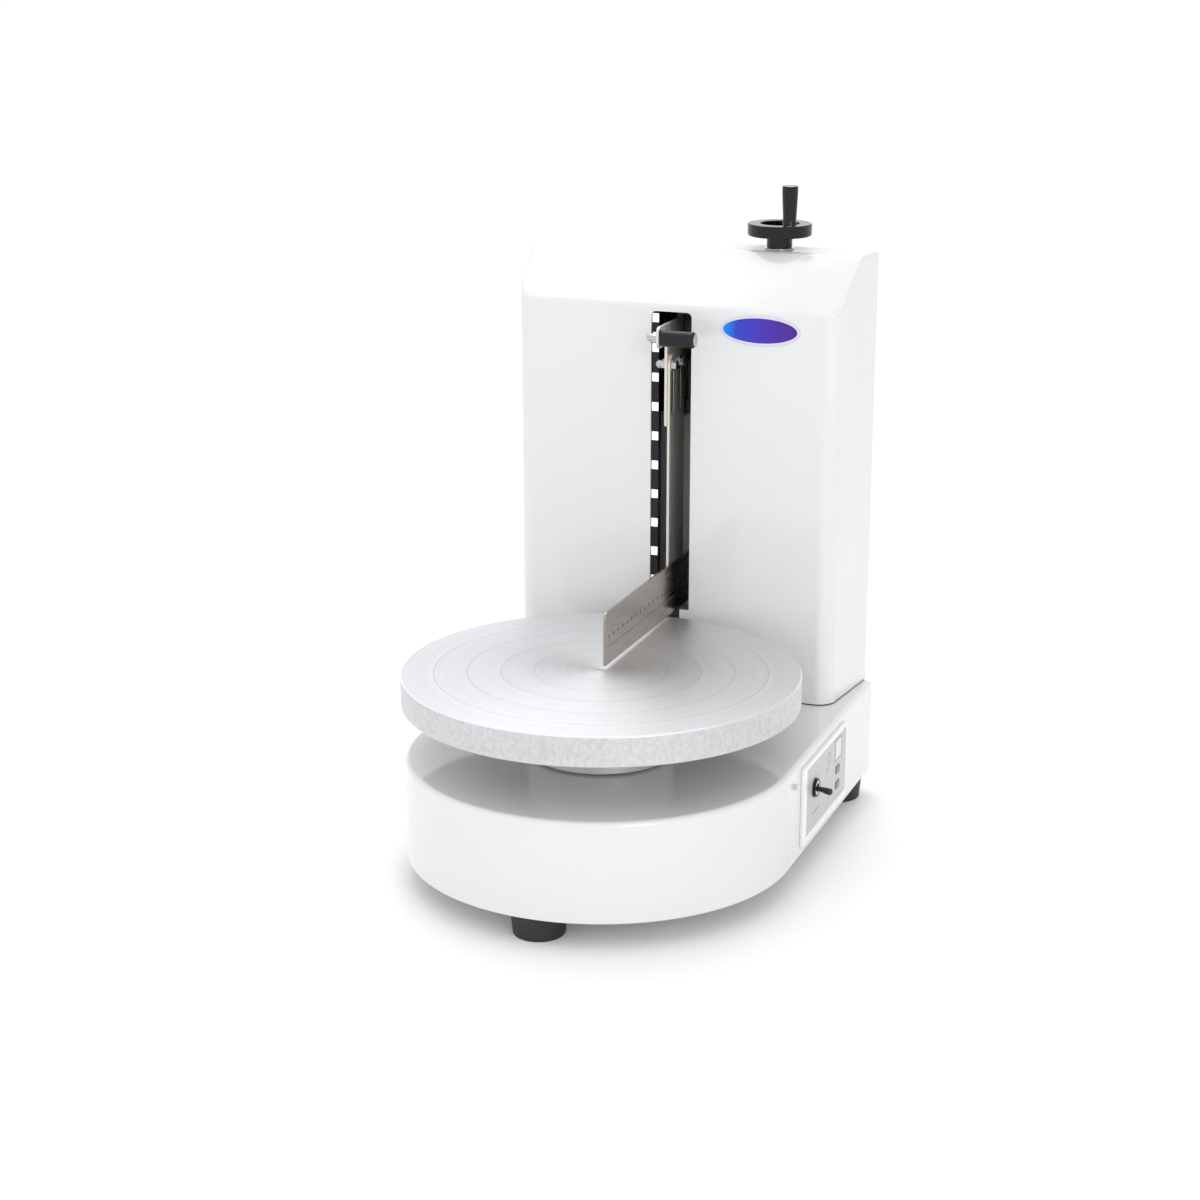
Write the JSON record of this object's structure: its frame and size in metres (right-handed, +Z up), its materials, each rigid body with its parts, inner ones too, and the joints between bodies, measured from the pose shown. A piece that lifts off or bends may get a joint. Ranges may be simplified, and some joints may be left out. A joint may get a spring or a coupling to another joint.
{
  "type": "cake icing machine",
  "caption": "Bench-top cake-icing machine: motor turntable in a rounded base, slotted tower with a hand-wheel level blade and a pull-out side scraper.",
  "frame": {"origin": "centre of the turntable's top face, on its spin axis", "axes": "+X to the operator's right, +Y to the back where the tower stands, +Z up"},
  "size_m": [0.3191, 0.4072, 0.5084],
  "materials": {
    "white_paint": "gloss white powder coat",
    "panel_frame": "gloss white moulding",
    "inner_steel": "satin grey paint",
    "zinc_steel": "zinc plated",
    "ground_steel": "ground and polished",
    "turned_aluminium": "satin turned",
    "cast_aluminium": "machined",
    "pulley_black": "black anodised",
    "motor_housing": "satin",
    "rubber": "matt black",
    "black_plastic": "satin black",
    "handle_black": "gloss black",
    "label_grey": "satin grey film",
    "display": "white window",
    "key_red": "dark red",
    "board_green": "solder mask",
    "brass": "machined",
    "mark_white": "white tape",
    "badge_blue": "domed blue oval",
    "stainless": "brushed stainless"
  },
  "bodies": {
    "machine": {"base_shell": "white_paint", "base_plate": "zinc_steel", "rubber_feet": "rubber", "foot_screws": "zinc_steel", "base_plate_screws": "zinc_steel", "chassis_posts": "zinc_steel", "cord_gland": "black_plastic", "bearing_housing": "cast_aluminium", "spindle_bearings": "ground_steel", "motor_bracket": "zinc_steel", "gear_motor": "motor_housing", "motor_screws": "zinc_steel", "drive_belt": "rubber", "control_panel_frame": "panel_frame", "panel_label": "label_grey", "display_window": "display", "toggle_bezel": "black_plastic", "toggle_switch_body": "black_plastic", "control_board": "board_green", "board_standoffs": "brass", "tower_gasket": "rubber", "tower_cover": "white_paint", "tower_back_panel": "white_paint", "back_panel_screws": "zinc_steel", "slot_liners": "black_plastic", "scale_marks": "mark_white", "badge": "badge_blue", "mast_frame": "inner_steel", "mast_bolts": "zinc_steel", "guide_rods": "ground_steel", "screw_bearings": "ground_steel", "arm_guide": "black_plastic", "wheel_collar": "stainless"},
    "turntable": {"turntable_plate": "turned_aluminium", "turntable_hub": "cast_aluminium", "hub_screws": "zinc_steel", "spindle": "ground_steel", "driven_pulley": "pulley_black"},
    "motor_output": {"motor_pulley": "pulley_black", "motor_shaft": "ground_steel"},
    "hand_wheel_unit": {"hand_wheel": "handle_black", "lead_screw": "ground_steel", "grip_pin": "stainless"},
    "wheel_grip": {"revolving_grip": "handle_black"},
    "blade_lift": {"scraper_blade": "stainless", "blade_carriage": "pulley_black", "linear_bushings": "ground_steel", "lead_nut": "brass", "blade_screws": "stainless"},
    "side_arm": {"handle_bracket": "stainless", "clamp_bolts": "stainless", "acorn_nuts": "stainless", "handle_bolt": "stainless"},
    "side_blade": {"side_scraper": "stainless"},
    "handle": {"handle_sleeve": "handle_black"},
    "toggle": {"toggle_lever": "black_plastic"},
    "up_key": {"button_up": "key_red"},
    "down_key": {"button_down": "key_red"}
  },
  "joints": [
    {"name": "turntable_spin", "type": "hinge", "parent": "machine", "child": "turntable", "pos_m": [0, 0, 0], "axis": [0, 0, 1], "continuous": true},
    {"name": "motor_spin", "type": "hinge", "parent": "machine", "child": "motor_output", "pos_m": [-0.052, 0.15, -0.12], "axis": [0, 0, 1], "continuous": true},
    {"name": "blade_height", "type": "slide", "parent": "machine", "child": "blade_lift", "axis": [0, 0, 1], "range_m": [0, 0.106]},
    {"name": "hand_wheel_turn", "type": "hinge", "parent": "machine", "child": "hand_wheel_unit", "pos_m": [0.0657, 0.229, 0.3], "axis": [0, 0, 1], "range_deg": [-4771, 0]},
    {"name": "wheel_grip_spin", "type": "hinge", "parent": "hand_wheel_unit", "child": "wheel_grip", "pos_m": [0.07829, 0.21346, 0.3139], "axis": [0, 0, 1], "continuous": true},
    {"name": "arm_reach", "type": "slide", "parent": "machine", "child": "side_arm", "axis": [0, -1, 0], "range_m": [0, 0.042]},
    {"name": "side_scraper_height", "type": "slide", "parent": "side_arm", "child": "side_blade", "axis": [0, 0, 1], "range_m": [0, 0.03]},
    {"name": "handle_spin", "type": "hinge", "parent": "side_arm", "child": "handle", "pos_m": [0, 0.1335, 0.2325], "axis": [1, 0, 0], "continuous": true},
    {"name": "toggle_flip", "type": "hinge", "parent": "machine", "child": "toggle", "pos_m": [0.151, 0.0648, -0.0974], "axis": [0, -1, 0], "range_deg": [0, 18]},
    {"name": "up_key_press", "type": "slide", "parent": "machine", "child": "up_key", "axis": [-1, 0, 0], "range_m": [0, 0.0005], "stiffness_N_per_m": 400},
    {"name": "down_key_press", "type": "slide", "parent": "machine", "child": "down_key", "axis": [-1, 0, 0], "range_m": [0, 0.0005], "stiffness_N_per_m": 400}
  ],
  "couplings": [
    {"joint": "motor_spin", "follows": "turntable_spin", "ratio": 4},
    {"joint": "hand_wheel_turn", "follows": "blade_height", "rad_per_m": -785.4}
  ]
}
